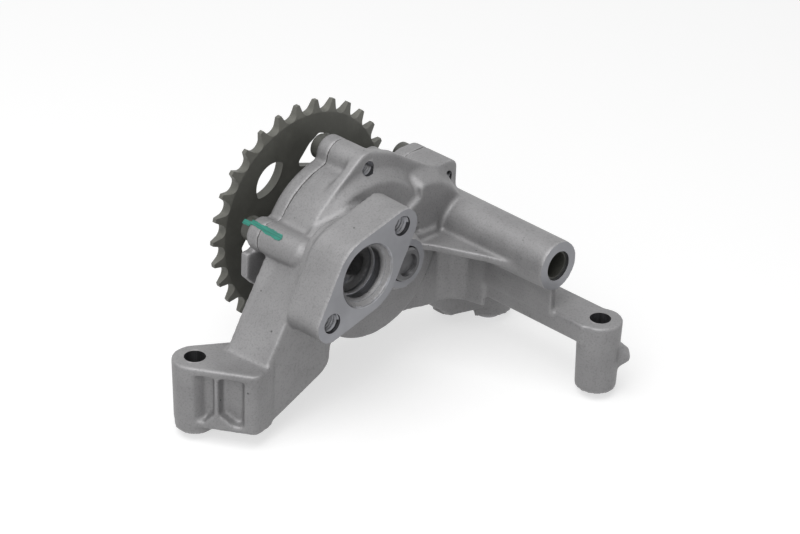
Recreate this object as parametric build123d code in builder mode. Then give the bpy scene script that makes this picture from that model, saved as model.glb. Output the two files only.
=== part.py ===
from build123d import *
import os
from math import acos, asin, atan2, cos, hypot, pi, radians, sin

# Chain-driven engine oil pump with an internal lobed rotor set, millimetres.
# The pump stands on its mounting feet, upside down to the way it hangs on the engine block.
# Origin: where the drive shaft's axis meets the mid-plane of the chain sprocket.
# +Y runs along the shaft from the suction side to the sprocket, +Z is up, away from the mounting face.
# A depth is a distance behind the sprocket's mid-plane, towards -Y. Points in cross sections are (x, z).

# Running fits and small gaps
running_gap = 0.04
face_gap = 0.05
seat_gap = 0.03

# Chain sprocket: 30 teeth for 9.525 mm roller chain
chain_pitch = 9.525
chain_roller = 6.35
tooth_count = 30
tooth_angle = 21.6
tooth_tip_radius = 47.5
sprocket_width = 4.0
tooth_tip_width = 1.6
sprocket_hub_radius = 11.0
sprocket_hub_length = 4.0
window_count = 3
window_angle = 12.0
window_inner = 19.6
window_outer = 33.6
window_inner_width = 19.8
window_outer_width = 14.0
window_fillet = 1.5
lens_inner = 23.6
lens_middle = 27.4
lens_outer = 34.1
lens_half = 8.8

# Rotor set
inner_lobes = 5
rotor_offset = 3.5
lobe_circle_radius = 24.0
lobe_radius = 6.5
rotor_width = 16.0
outer_rotor_radius = 28.5
rotor_tip_gap = 0.08
root_fillet = 1.8

# Drive shaft
shaft_radius = 7.0
shaft_end_depth = 60.5
shaft_recess_radius = 4.2
shaft_recess_depth = 1.6
nose_radius = 6.0
nose_flat = 5.0
key_width = 4.0
key_height = 4.0
key_length = 12.0
bushing_wall = 1.5
bushing_length = 14.0
cover_bushing_length = 9.0

# Sprocket bolt
sprocket_bolt_radius = 4.0
sprocket_bolt_length = 18.0
sprocket_bolt_head = 6.5
sprocket_bolt_head_height = 5.3
washer_radius = 10.0
washer_thickness = 2.0

# Round body, cover and the joint between them
cover_depth = 13.5
parting_depth = 20.0
body_radius = 34.5
body_rear_depth = 44.0
body_rear_fillet = 1.2
wing_depth = 36.0
web_depth = 4.5
step_depth = 40.5
step_radius = 30.5
cover_edge_fillet = 1.0
hub_radius = 13.0
hub_height = 4.5
shaft_boss_radius = 11.0
shaft_boss_depth = 59.0
shaft_boss_foot_radius = 17.0

# Cover bolts, M6, and their bosses at (x, z)
bolt_radius = 3.0
bolt_clearance = 3.3
bolt_length = 18.0
bolt_head_radius = 5.1
bolt_head_height = 4.8
hex_socket = 2.6
boss_radius = 6.7
left_bolt = (-35.4, 8.6)
top_bolt = (1.2, 32.0)
right_bolt = (47.0, 13.3)
low_left_bolt = (-24.5, -32.3)
low_right_bolt = (29.0, -28.0)
dome_depth = 44.5
dowel_radius = 2.5
dowel_length = 12.0
dowel_places = ((24.0, 21.0), (-33.5, -16.5))

# Suction flange, facing -Y
flange_depth = 67.0
flange_centre = (-28.5, 8.6)
flange_radius = 16.8
flange_lobe_radius = 7.4
flange_hole_radius = 3.4
flange_sink_radius = 4.0
flange_hole_depth = 14.0
flange_lobe_reach = 23.3
flange_lobe_angle = 37.8
flange_hole_centre = (-28.95, 9.4)
flange_hole_reach = 22.95
flange_hole_angle = 38.5
suction_mouth_radius = 13.3
suction_mouth_depth = 3.0
suction_bore_radius = 10.4
suction_bore_length = 7.4
suction_throat_radius = 9.7
suction_floor_depth = 53.0
neck_root_depth = 50.0
neck_centre = (-24.5, 7.5)
neck_radius = 10.0
neck_draft = 0.4

# Relief valve tube
tube_axis = (48.7, -4.3)
tube_root_depth = 42.5
tube_root_radius = 10.7
tube_end_depth = 95.0
tube_end_radius = 10.3
relief_bore_radius = 6.2
relief_seat_depth = 50.0
relief_port_radius = 4.0
piston_length = 15.0
piston_travel = 8.0
cap_mouth_depth = 93.6
cap_length = 7.0
cap_wall = 0.9
spring_wire = 0.6
spring_radius = 4.1
spring_turns = 9
spill_radius = 3.0
web_thickness = 3.0
gusset_thickness = 3.0

# Mounting feet, arms and the plane that they share
mount_z = -55.0
foot_top_z = -25.0
foot_hole_radius = 4.25
right_foot = (58.3, -110.4)
right_foot_radius = 8.3
left_foot = (-78.4, -25.1)
left_foot_radius = 8.9
port_foot = (72.8, -38.5)
port_foot_radius = 10.3
arm_left_x = 48.2
arm_right_x = 66.2
arm_thickness = 8.5
lug_width = 6.0
left_arm_front = 50.0
left_arm_back = 29.7
block_bottom_z = -51.5
block_wall = 3.2
block_draft = 1.5
block_recess_start = -8.1
block_recess_width = 19.0
block_recess_depth = 6.5
outlet_place = (59.5, -29.0)
outlet_radius = 5.0
outlet_pad_radius = 7.5
gallery_z = -11.0
gallery_depth = 38.5
gallery_radius = 4.5
sleeve_radius = 6.0
sleeve_step = 0.8
sleeve_wall = 1.2
sleeve_length = 10.0
sleeve_stand = 3.5

# Sizes that follow from the ones above
outer_lobes = inner_lobes + 1
rotor_floor_depth = parting_depth + rotor_width + 2 * face_gap
body_centre = (0.0, -rotor_offset)
pocket_radius = outer_rotor_radius + 2 * running_gap
root_radius = lobe_circle_radius - lobe_radius + 2 * rotor_offset
pitch_radius = chain_pitch / 2 / sin(pi / tooth_count)
flange_lobes = tuple(
    (
        flange_centre[0] + reach * cos(radians(flange_lobe_angle)),
        flange_centre[1] + reach * sin(radians(flange_lobe_angle)),
    )
    for reach in (flange_lobe_reach, -flange_lobe_reach)
)
flange_holes = tuple(
    (
        flange_hole_centre[0] + reach * cos(radians(flange_hole_angle)),
        flange_hole_centre[1] + reach * sin(radians(flange_hole_angle)),
    )
    for reach in (flange_hole_reach, -flange_hole_reach)
)
bolt_places = (left_bolt, top_bolt, right_bolt, low_left_bolt, low_right_bolt)
bushing_radius = shaft_radius + running_gap + bushing_wall
shoulder_depth = sprocket_width / 2 + sprocket_hub_length


def behind(depth):
    """The plane across the shaft at this depth. Its x is +X, its y is +Z, and it faces -Y."""
    return Plane.XZ.offset(depth)


def at_height(z):
    """The level plane at this height. Its x is +X and its y is +Y."""
    return Plane.XY.offset(z)


def disc(depth, end_depth, place, radius, end_radius=None):
    """A round bar along the shaft's direction, or a cone if it has an end radius."""
    with BuildPart() as bar:
        with BuildSketch(behind(depth)):
            with Locations(place):
                Circle(radius)
        if end_radius is not None:
            with BuildSketch(behind(end_depth)):
                with Locations(place):
                    Circle(end_radius)
            loft()
        else:
            extrude(amount=end_depth - depth)
    return bar.part


def post(z, top_z, place, radius, top_radius=None):
    """An upright round post, or a cone if it has a top radius."""
    with BuildPart() as upright:
        with BuildSketch(at_height(z)):
            with Locations(place):
                Circle(radius)
        if top_radius is not None:
            with BuildSketch(at_height(top_z)):
                with Locations(place):
                    Circle(top_radius)
            loft()
        else:
            extrude(amount=top_z - z)
    return upright.part


def tangent_point(centre, radius, point, side):
    """Where a line from the point touches the circle. Side is 1 or -1."""
    away_x, away_z = point[0] - centre[0], point[1] - centre[1]
    distance = hypot(away_x, away_z)
    turn = atan2(away_z, away_x) + side * acos(radius / distance)
    return (centre[0] + radius * cos(turn), centre[1] + radius * sin(turn))


def belt_outline(circles):
    """The outline of a belt drawn tight round circles, given counter-clockwise as (x, y, radius)."""
    count = len(circles)
    normals = []
    for index, (x, y, radius) in enumerate(circles):
        next_x, next_y, next_radius = circles[(index + 1) % count]
        distance = hypot(next_x - x, next_y - y)
        normals.append(atan2(next_y - y, next_x - x) - acos((radius - next_radius) / distance))
    with BuildSketch() as outline:
        with BuildLine():
            for index, (x, y, radius) in enumerate(circles):
                next_x, next_y, next_radius = circles[(index + 1) % count]
                start, end = normals[index - 1], normals[index]
                middle = start + ((end - start) % (2 * pi)) / 2
                corners = [(x + radius * cos(turn), y + radius * sin(turn)) for turn in (start, middle, end)]
                ThreePointArc(*corners)
                Line(corners[2], (next_x + next_radius * cos(end), next_y + next_radius * sin(end)))
        make_face()
    return outline.sketch


def parting_block(depth, end_depth):
    """The outline that the cover and the front of the housing share, as a slab between two depths."""
    with BuildPart() as slab:
        with BuildSketch(behind(depth)):
            with Locations(body_centre):
                Circle(body_radius)
            with Locations(left_bolt, top_bolt, low_left_bolt, low_right_bolt):
                Circle(boss_radius)
            with Locations(*dowel_places):
                Circle(dowel_radius + 2.5)
            with BuildLine():
                Polyline(
                    (25, 17),
                    (33, 17),
                    (41, right_bolt[1] + 6.3),
                    (right_bolt[0] + 5.5, right_bolt[1] + 6.3),
                    (right_bolt[0] + 5.5, right_bolt[1] - 6),
                    (57.0, -4),
                    (56.0, -16),
                    (30, -30),
                    (0, 0),
                    close=True,
                )
            make_face()
        extrude(amount=end_depth - depth)
        upright = slab.edges().filter_by(Axis.Y)
        fillet(upright.filter_by(lambda edge: edge.center().X > 38 and edge.center().Z > 0), 4.0)
        upright = slab.edges().filter_by(Axis.Y)
        notches = upright.filter_by(
            lambda edge: edge.center().X < 14
            and (edge.center().Z < 33 or edge.center().X < 0)
            or edge.center().Z < -20
        )
        fillet(notches, 2.2)
    return slab.part


def front_body():
    """The housing between its joint face and the upper rear wall."""
    return parting_block(parting_depth, wing_depth)


def rear_web():
    """The plate at the back of the front part, drawn tight from boss to boss."""
    top_x, top_z = top_bolt
    with BuildPart() as web:
        with BuildSketch(behind(wing_depth - web_depth)):
            add(belt_outline(((*body_centre, body_radius), (*top_bolt, boss_radius))))
            with BuildLine():
                Polyline(
                    (0, 0),
                    (top_x, top_z + boss_radius - 0.1),
                    (top_x + 5.5, top_z + 5.6),
                    (15.4, 34.1),
                    (23.0, 29.4),
                    (36.5, 21.2),
                    (41.5, right_bolt[1] + 6.3),
                    (right_bolt[0], right_bolt[1]),
                    close=True,
                )
            make_face()
        extrude(amount=web_depth)
    return web.part


def rear_body():
    """The round rear of the pump chamber, deeper in its lower half."""
    with BuildPart() as rear:
        with BuildSketch(behind(parting_depth)):
            with Locations(body_centre):
                Circle(body_radius)
        extrude(amount=body_rear_depth - parting_depth)
        fillet(rear.edges().filter_by(GeomType.CIRCLE).sort_by(Axis.Y)[0], body_rear_fillet)
        with BuildSketch(behind(wing_depth)):
            with BuildLine():
                Polyline((-40, 12), (-14, 12), (14, 2), (26, -2), (45, -2), (45, 45), (-40, 45), close=True)
            make_face()
        extrude(amount=body_rear_depth - wing_depth + 1, mode=Mode.SUBTRACT)
    return rear.part


def rear_step():
    """The shallower upper half of the chamber's rear, sloped down to the upper wall."""
    with BuildPart() as step:
        with BuildSketch(Plane.YZ) as profile:
            with BuildLine():
                Polyline(
                    (-parting_depth - 5, body_centre[1]),
                    (-parting_depth - 5, body_centre[1] + body_radius - 0.5),
                    (-wing_depth, body_centre[1] + body_radius - 0.5),
                    (-step_depth, body_centre[1] + step_radius),
                    (-step_depth, body_centre[1]),
                    close=True,
                )
            make_face()
            fillet(profile.vertices().sort_by(Axis.Y)[:3].sort_by(Axis.Z)[-1], 1.8)
        revolve(axis=Axis((0, 0, body_centre[1]), (0, 1, 0)))
    return step.part


def shaft_boss():
    """The boss round the drive shaft's end, flared where it meets the chamber."""
    with BuildPart() as boss:
        with BuildSketch(Plane.YZ):
            with BuildLine():
                Polyline(
                    (-wing_depth, 0),
                    (-wing_depth, shaft_boss_foot_radius + 3),
                    (-body_rear_depth, shaft_boss_foot_radius),
                    (-body_rear_depth - 6, shaft_boss_radius + 2.6),
                    (-shaft_boss_depth + 2, shaft_boss_radius + 0.6),
                    (-shaft_boss_depth, shaft_boss_radius - 1),
                    (-shaft_boss_depth, 0),
                    close=True,
                )
            make_face()
        revolve(axis=Axis.Y)
    return boss.part


def raised_pad():
    """The highest flat of the rear wall, at the relief tube's root, with sloped sides."""
    foot = (
        (23.0, 20.6),
        (25.6, 22.3),
        (31.5, 22.7),
        (39.5, 20.4),
        (46.5, 15.5),
        (51.3, 8.5),
        (58.0, -2.0),
        (58.0, -12.0),
        (29.0, -5.0),
        (16.0, 2.0),
        (16.0, 11.0),
        (22.4, 15.0),
    )
    top = (
        (25.3, 17.2),
        (27.2, 18.6),
        (31.5, 18.3),
        (37.5, 16.2),
        (43.0, 12.2),
        (47.5, 6.8),
        (54.0, -2.0),
        (54.0, -12.0),
        (29.0, -2.8),
        (21.5, 2.0),
        (19.2, 10.4),
        (24.9, 13.2),
    )
    with BuildPart() as raised:
        for depth, points in ((wing_depth - 1, foot), (tube_root_depth, top)):
            with BuildSketch(behind(depth)):
                with BuildLine():
                    Polyline(*points, close=True)
                make_face()
        loft(ruled=True)
    return raised.part


def flange_outline(grow):
    """The two-bolt flange's outline, larger by an even margin."""
    upper, lower = flange_lobes
    return belt_outline(
        (
            (*upper, flange_lobe_radius + grow),
            (*flange_centre, flange_radius + grow),
            (*lower, flange_lobe_radius + grow),
            (*flange_centre, flange_radius + grow),
        )
    )


def suction_neck():
    """The thick suction flange and the narrower neck that joins it to the chamber."""
    with BuildPart() as neck:
        with BuildSketch(behind(flange_depth)):
            add(flange_outline(0))
        with BuildSketch(behind(neck_root_depth)):
            add(flange_outline(neck_draft))
        loft()
        with BuildSketch(behind(neck_root_depth - 4)):
            add(
                belt_outline(
                    (
                        (-14.5, 19.5, 3.0),
                        (*flange_centre, flange_radius - 0.9),
                        (-41.5, -4.0, 6.0),
                        (*flange_centre, flange_radius - 4),
                    )
                )
            )
        extrude(amount=5)
        with BuildSketch(behind(wing_depth)):
            add(
                belt_outline(
                    (
                        (-14.5, 19.5, 3.0),
                        (*neck_centre, neck_radius),
                        (-40.0, -5.0, 5.0),
                        (*neck_centre, neck_radius - 0.5),
                    )
                )
            )
        extrude(amount=neck_root_depth - 2 - wing_depth)
    return neck.part


def left_arm():
    """The inclined wall from the body down to the left foot."""
    back_edge = ((-66.8, -25.2), (-54.0, -11.2), (-40.6, 2.4), (-31.0, 8.0))
    front_edge = ((-64.5, -25.6), (-52.7, -6.2), (-47.5, 2.5), (-43.0, 9.8))
    with BuildPart() as arm:
        outlines = []
        for depth, edge in ((left_arm_back, back_edge), (left_arm_front, front_edge)):
            with BuildSketch(behind(depth)) as outline:
                with BuildLine():
                    Polyline(
                        (-67, -52.0),
                        (-67, -28),
                        *edge,
                        (-20, 10),
                        (-14, -20),
                        (-30.4, -28),
                        (-30.7, -34.2),
                        (-31.9, -36.8),
                        (-34.2, -38.9),
                        (-37.2, -40.4),
                        (-51.1, -46.4),
                        (-64.5, -52.0),
                        close=True,
                    )
                make_face()
            outlines.append(outline.sketch)
        loft(ruled=True)
        extrude(outlines[0], amount=parting_depth + 1 - left_arm_back)
        with BuildSketch(at_height(mount_z - 1)):
            with BuildLine():
                Polyline((-80, -33.4), (-66.8, -29.7), (-40.9, -22.5), (-20, -20.5), (-20, -10), (-80, -10), close=True)
            make_face()
        extrude(amount=-2 * mount_z, mode=Mode.SUBTRACT)
    return arm.part


def left_block():
    """The hollow-sided block of the left foot."""
    corner = (-69.6, -48.4)
    corner_radius = 3.4
    along = (corner[0] - left_foot[0], corner[1] - left_foot[1])
    length = hypot(*along)
    across = (along[1] / length, -along[0] / length)
    with BuildPart() as block:
        with BuildSketch(at_height(block_bottom_z)):
            add(
                belt_outline(
                    (
                        (*left_foot, left_foot_radius - 0.6),
                        (*corner, corner_radius),
                        (-62.5, -49.0, 1.5),
                        (-62.5, -27.2, 1.5),
                    )
                )
            )
        extrude(amount=foot_top_z - block_bottom_z, taper=-block_draft)
        top_edges = block.faces().sort_by(Axis.Z)[-1].edges()
        fillet(top_edges, 0.8)
        lean = (left_foot_radius - 0.6 - corner_radius) / length
        turn = atan2(along[1], along[0]) + asin(lean)
        wall = (left_foot_radius - 0.6 + corner_radius) / 2
        pocket_plane = Plane(
            origin=(
                left_foot[0] + along[0] / 2 + across[0] * (wall + 1.5),
                left_foot[1] + along[1] / 2 + across[1] * (wall + 1.5),
                0,
            ),
            x_dir=(cos(turn), sin(turn), 0),
            z_dir=(sin(turn), -cos(turn), 0),
        )
        low, high = block_bottom_z + 2.6, foot_top_z - block_wall
        with BuildSketch(pocket_plane):
            with Locations((block_recess_start + block_recess_width / 2, (low + high) / 2)):
                RectangleRounded(block_recess_width, high - low, 1.6)
            with BuildLine():
                Polyline(
                    (-1.3, high + 1),
                    (-1.3, low + 4.5),
                    (-5.5, low - 1),
                    (7.5, low - 1),
                    (1.6, low + 4.5),
                    (1.6, high + 1),
                    close=True,
                )
            make_face(mode=Mode.SUBTRACT)
        extrude(amount=-block_recess_depth - 1.5, mode=Mode.SUBTRACT)
        with BuildSketch(at_height(mount_z)):
            with Locations(left_foot):
                Circle(left_foot_radius - 0.9)
        extrude(amount=foot_top_z - mount_z - 1)
    return block.part


def right_arm():
    """The long arm to the right foot, with the foot's post at its end."""
    with BuildPart() as arm:
        with BuildSketch(at_height(foot_top_z - arm_thickness)):
            with Locations(((arm_left_x + arm_right_x) / 2, (right_foot[1] - 30) / 2)):
                Rectangle(arm_right_x - arm_left_x, -right_foot[1] - 30)
        extrude(amount=arm_thickness)
        add(post(mount_z, foot_top_z, right_foot, right_foot_radius, right_foot_radius + 0.7))
        lug_plane = Plane(origin=(*right_foot, 0), x_dir=(1, -1, 0), z_dir=(-1, -1, 0))
        with BuildSketch(lug_plane.offset(-lug_width / 2)) as lug:
            with BuildLine():
                Polyline((2, -35.5), (9.5, -37.0), (12.8, -40.0), (12.8, -42.5), (8.0, -46.5), (2, -48), close=True)
            make_face()
            fillet(lug.vertices().filter_by(lambda v: -46 < v.Z < -36), 1.0)
        extrude(amount=lug_width)
        fillet(arm.faces().sort_by(Axis.Z)[-1].edges().filter_by(Axis.Y), 0.8)
    return arm.part


def port_side():
    """The solid corner that holds the outlet, the third foot and the root of the right arm."""
    with BuildPart() as corner:
        with BuildSketch(at_height(mount_z)):
            add(belt_outline(((*port_foot, port_foot_radius), (*outlet_place, outlet_pad_radius))))
        extrude(amount=foot_top_z - mount_z)
        with BuildSketch(at_height(-50.6)):
            add(belt_outline(((*port_foot, port_foot_radius - 0.4), (50.5, -37.5, 3.4))))
        extrude(amount=50.6 + foot_top_z - 2)
        with BuildSketch(at_height(-38)):
            Polygon(
                (28.0, -38.0),
                (28.0, -41.5),
                (36.5, -42.3),
                (42.0, -45.2),
                (45.5, -50.0),
                (arm_left_x - 1.0, -58.0),
                (arm_left_x + 1.0, -58.0),
                (arm_left_x + 1.0, -38.0),
                align=None,
            )
        extrude(amount=38 + tube_axis[1] - 4)
        with BuildSketch(behind(parting_depth + 4)):
            with BuildLine():
                Polyline(
                    (10, -20),
                    (14, -35.5),
                    (25.5, -37.7),
                    (34.4, -39.5),
                    (40.5, -44.3),
                    (48.0, -50.1),
                    (arm_right_x + 4, -51),
                    (arm_right_x + 4, foot_top_z),
                    (arm_right_x, foot_top_z),
                    (59, -4),
                    (40, 0),
                    (20, 0),
                    close=True,
                )
            make_face()
        extrude(amount=wing_depth + 5 - parting_depth - 4)
    return corner.part


def relief_tube():
    """The drafted tube of the relief valve, with its web and gusset."""
    tube_x, tube_z = tube_axis
    with BuildPart() as tube:
        add(disc(tube_root_depth - 18, tube_end_depth, tube_axis, tube_root_radius + 0.3, tube_end_radius))
        with BuildSketch(Plane.YZ.offset(arm_left_x - 1.0)):
            with BuildLine():
                Polyline(
                    (-body_rear_depth + 8, tube_z),
                    (-tube_end_depth + 1.5, tube_z - 4),
                    (-tube_end_depth + 1.0, foot_top_z - 2),
                    (-body_rear_depth + 8, foot_top_z - 2),
                    close=True,
                )
            make_face()
        extrude(amount=web_thickness)
        with BuildSketch(at_height(tube_z - 0.8 - gusset_thickness)):
            with BuildLine():
                Polyline(
                    (14, -38),
                    (21.5, -44),
                    (25.3, -49),
                    (34.4, -69),
                    (39.0, -84),
                    (tube_x, -84),
                    (tube_x, -38),
                    close=True,
                )
            make_face()
        extrude(amount=gusset_thickness)
    return tube.part


def body_cavities():
    """Everything that is machined or cored out of the housing, as one cutting shape."""
    port_ring = (lobe_circle_radius + 0.5, 14.5)
    with BuildPart() as cavity:
        with BuildSketch(behind(parting_depth - 1)):
            with Locations(body_centre):
                Circle(pocket_radius)
        extrude(amount=rotor_floor_depth - parting_depth + 1)
        for side, low, sweep in ((-1, 118, 125), (1, -62, 122)):
            with BuildSketch(behind(rotor_floor_depth - 1)):
                with BuildLine():
                    CenterArc(body_centre, port_ring[0], low, sweep)
                    CenterArc(body_centre, port_ring[1], low, sweep)
                    for turn in (low, low + sweep):
                        ends = [
                            (
                                body_centre[0] + r * cos(radians(turn)),
                                body_centre[1] + r * sin(radians(turn)),
                            )
                            for r in port_ring
                        ]
                        Line(*ends)
                make_face()
            extrude(amount=5 if side > 0 else 6)
        add(disc(rotor_floor_depth - 1, shaft_boss_depth + 2, (0, 0), shaft_radius + 0.4))
        add(disc(rotor_floor_depth - 1, rotor_floor_depth + bushing_length, (0, 0), bushing_radius))
        add(disc(flange_depth + 1, suction_floor_depth, flange_centre, suction_throat_radius))
        add(disc(flange_depth + 1, flange_depth - suction_bore_length, flange_centre, suction_bore_radius))
        add(
            disc(
                flange_depth,
                flange_depth - suction_mouth_depth,
                flange_centre,
                suction_mouth_radius,
                suction_bore_radius,
            )
        )
        with BuildSketch(behind(rotor_floor_depth + 3)):
            add(belt_outline(((-25.5, 7.5, 4.5), (-21.5, 5.5, 4.5))))
        extrude(amount=suction_floor_depth - rotor_floor_depth - 2)
    return cavity.part


def outlet_passages():
    """The pressure gallery, its outlet, the relief bore and the drain hole of the relief valve."""
    tube_x, tube_z = tube_axis
    with BuildPart() as passages:
        with BuildSketch(Plane.YZ.offset(lobe_circle_radius - 6)):
            with Locations((-gallery_depth, gallery_z)):
                Circle(gallery_radius)
        extrude(amount=arm_right_x + 5 - lobe_circle_radius + 6)
        add(post(mount_z - 1, gallery_z, (outlet_place[0], -gallery_depth + 2), outlet_radius))
        add(post(mount_z - 1, mount_z + 6, outlet_place, outlet_radius))
        add(disc(tube_end_depth + 1, relief_seat_depth, tube_axis, relief_bore_radius))
        add(disc(relief_seat_depth + 1, gallery_depth, tube_axis, relief_port_radius))
        with BuildSketch(Plane.YZ.offset(tube_x)):
            with Locations((-relief_seat_depth - piston_travel + spill_radius, tube_z)):
                Circle(spill_radius)
        extrude(amount=tube_root_radius + 2)
    return passages.part


def bolt_holes():
    """The tapped holes for the cover bolts and the suction flange, and the drilled mounting holes."""
    with BuildPart() as holes:
        add(disc(parting_depth - 1, wing_depth + 6, top_bolt, bolt_radius))
        for place in (low_left_bolt, low_right_bolt):
            add(disc(parting_depth - 1, wing_depth - 3, place, bolt_radius))
        add(disc(parting_depth - 1, wing_depth - 3, left_bolt, bolt_radius))
        add(disc(parting_depth - 1, wing_depth - 4, right_bolt, bolt_radius))
        add(disc(wing_depth - 5, wing_depth + 1, right_bolt, bolt_radius - 0.8))
        for place in flange_holes:
            add(disc(flange_depth + 1, flange_depth - flange_hole_depth, place, flange_hole_radius))
            add(disc(flange_depth, flange_depth - 0.8, place, flange_sink_radius, flange_hole_radius))
        for place in dowel_places:
            add(disc(parting_depth - 1, parting_depth + dowel_length / 2 + 0.5, place, dowel_radius + seat_gap))
        for place in (left_foot, right_foot, port_foot):
            add(post(mount_z - 1, foot_top_z + 1, place, foot_hole_radius))
        seat_radius = sleeve_radius + sleeve_step + seat_gap
        add(post(mount_z - 1, mount_z + sleeve_length - sleeve_stand + 0.5, port_foot, seat_radius))
    return holes.part


os.makedirs("parts", exist_ok=True)

# Housing
shapes = [
    front_body(),
    rear_body(),
    shaft_boss(),
    rear_web(),
    rear_step(),
    raised_pad(),
    suction_neck(),
    left_arm(),
    left_block(),
    right_arm(),
    port_side(),
    relief_tube(),
    disc(wing_depth - 2, dome_depth - 4, left_bolt, boss_radius),
    disc(dome_depth - 4, dome_depth, left_bolt, boss_radius, boss_radius - 2.5),
]
cuts = [body_cavities(), outlet_passages(), bolt_holes()]
with BuildPart() as pump_housing:
    for shape in shapes:
        add(shape)
    for cut in cuts:
        add(cut, mode=Mode.SUBTRACT)
pump_housing.part.label = "pump_housing"
export_step(pump_housing.part, "parts/pump_housing.step")

# Cover
with BuildPart() as pump_cover:
    add(parting_block(cover_depth, parting_depth))
    fillet(pump_cover.faces().sort_by(Axis.Y)[-1].edges(), cover_edge_fillet)
    with BuildSketch(behind(cover_depth - hub_height)):
        Circle(hub_radius)
    extrude(amount=hub_height + 1)
    with BuildSketch(behind(cover_depth - 0.4)):
        with BuildLine():
            Polyline((-30, 3), (-44.2, 3), (-44.5, -7.4), (-39.8, -12.3), (-30, -8), close=True)
        make_face()
    extrude(amount=4.2)
    with Locations(Location((0, -cover_depth + hub_height, 0), (-90, 0, 0))):
        Hole(bushing_radius)
    for place in bolt_places:
        add(disc(cover_depth - 1, parting_depth + 1, place, bolt_clearance), mode=Mode.SUBTRACT)
    for place in dowel_places:
        add(
            disc(parting_depth - dowel_length / 2 + 0.5, parting_depth + 1, place, dowel_radius + seat_gap),
            mode=Mode.SUBTRACT,
        )
pump_cover.part.label = "pump_cover"
export_step(pump_cover.part, "parts/pump_cover.step")


# Chain sprocket
def sprocket_profile():
    """Teeth drawn as roller seats joined by flanks that close in to a narrow tip."""
    step = 360 / tooth_count
    seat = chain_roller / 2 + 0.02
    with BuildSketch() as profile:
        Circle(tooth_tip_radius)
        with PolarLocations(pitch_radius, tooth_count, start_angle=tooth_angle + step / 2):
            Circle(seat, mode=Mode.SUBTRACT)
        with PolarLocations(pitch_radius, tooth_count, start_angle=tooth_angle + step / 2):
            Polygon(
                (-seat * 0.28, seat * 0.96),
                (tooth_tip_radius - pitch_radius + 1, 4.6),
                (tooth_tip_radius - pitch_radius + 1, -4.6),
                (-seat * 0.28, -seat * 0.96),
                align=None,
                mode=Mode.SUBTRACT,
            )
    return profile.sketch


def wide_window():
    """A lightening window that is wide at the hub, drawn on the line of +X."""
    half_inner, half_outer = window_inner_width / 2, window_outer_width / 2
    with BuildSketch() as window:
        Polygon(
            (window_inner, -half_inner),
            (window_inner + 2.4, -half_inner - 0.3),
            (29.0, -half_outer),
            (window_outer, -3.0),
            (window_outer, 3.0),
            (29.0, half_outer),
            (window_inner + 2.4, half_inner + 0.3),
            (window_inner, half_inner),
            align=None,
        )
        fillet(window.vertices(), window_fillet)
    return window.sketch


def lens_window():
    """A lightening window between two arcs, drawn on the line of +X."""
    with BuildSketch() as window:
        with BuildLine():
            ThreePointArc((lens_middle, -lens_half), (lens_outer, 0), (lens_middle, lens_half))
            ThreePointArc((lens_middle, lens_half), (lens_inner, 0), (lens_middle, -lens_half))
        make_face()
        fillet(window.vertices(), window_fillet)
    return window.sketch


with BuildPart() as drive_sprocket:
    with BuildSketch(behind(-sprocket_width / 2)):
        add(sprocket_profile())
    extrude(amount=sprocket_width)
    bevel_base = pitch_radius - chain_roller / 2
    with BuildSketch(Plane.YZ):
        for side in (-1, 1):
            with BuildLine():
                Polyline(
                    (side * sprocket_width / 2, bevel_base),
                    (side * tooth_tip_width / 2, tooth_tip_radius + 0.5),
                    (side * (sprocket_width / 2 + 2), tooth_tip_radius + 0.5),
                    (side * (sprocket_width / 2 + 2), bevel_base),
                    close=True,
                )
            make_face()
    revolve(axis=Axis.Y, mode=Mode.SUBTRACT)
    with BuildSketch(behind(-sprocket_width / 2 - 1)):
        with PolarLocations(0, window_count, start_angle=window_angle):
            add(lens_window())
        with PolarLocations(0, window_count, start_angle=window_angle + 60):
            add(wide_window())
    extrude(amount=sprocket_width + 2, mode=Mode.SUBTRACT)
    with BuildSketch(behind(sprocket_width / 2)):
        Circle(sprocket_hub_radius)
    extrude(amount=sprocket_hub_length)
    with BuildSketch(behind(-sprocket_width / 2 - 1)):
        Circle(nose_radius + seat_gap)
        with Locations((0, nose_flat + seat_gap)):
            Rectangle(4 * nose_radius, 2 * nose_radius, align=(Align.CENTER, Align.MIN), mode=Mode.SUBTRACT)
    extrude(amount=sprocket_width + sprocket_hub_length + 2, mode=Mode.SUBTRACT)
drive_sprocket.part.label = "drive_sprocket"
export_step(drive_sprocket.part, "parts/drive_sprocket.step")

# Drive shaft
with BuildPart() as drive_shaft:
    add(disc(shoulder_depth, shaft_end_depth, (0, 0), shaft_radius))
    chamfer(drive_shaft.edges().filter_by(GeomType.CIRCLE).sort_by(Axis.Y)[0], 0.8)
    with BuildSketch(behind(-sprocket_width / 2 + 0.3)):
        Circle(nose_radius)
        with Locations((0, nose_flat)):
            Rectangle(4 * nose_radius, 2 * nose_radius, align=(Align.CENTER, Align.MIN), mode=Mode.SUBTRACT)
    extrude(amount=shoulder_depth + sprocket_width / 2)
    add(
        disc(
            shaft_end_depth + 0.01,
            shaft_end_depth - shaft_recess_depth,
            (0, 0),
            shaft_recess_radius + 0.6,
            shaft_recess_radius,
        ),
        mode=Mode.SUBTRACT,
    )
    add(
        disc(-sprocket_width, sprocket_bolt_length - washer_thickness, (0, 0), sprocket_bolt_radius + seat_gap),
        mode=Mode.SUBTRACT,
    )
    with BuildSketch(at_height(shaft_radius - key_height / 2)):
        with Locations((0, -parting_depth - rotor_width / 2)):
            Rectangle(key_width + 2 * seat_gap, key_length + 2 * seat_gap)
    extrude(amount=key_height, mode=Mode.SUBTRACT)
drive_shaft.part.label = "drive_shaft"
export_step(drive_shaft.part, "parts/drive_shaft.step")

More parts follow.
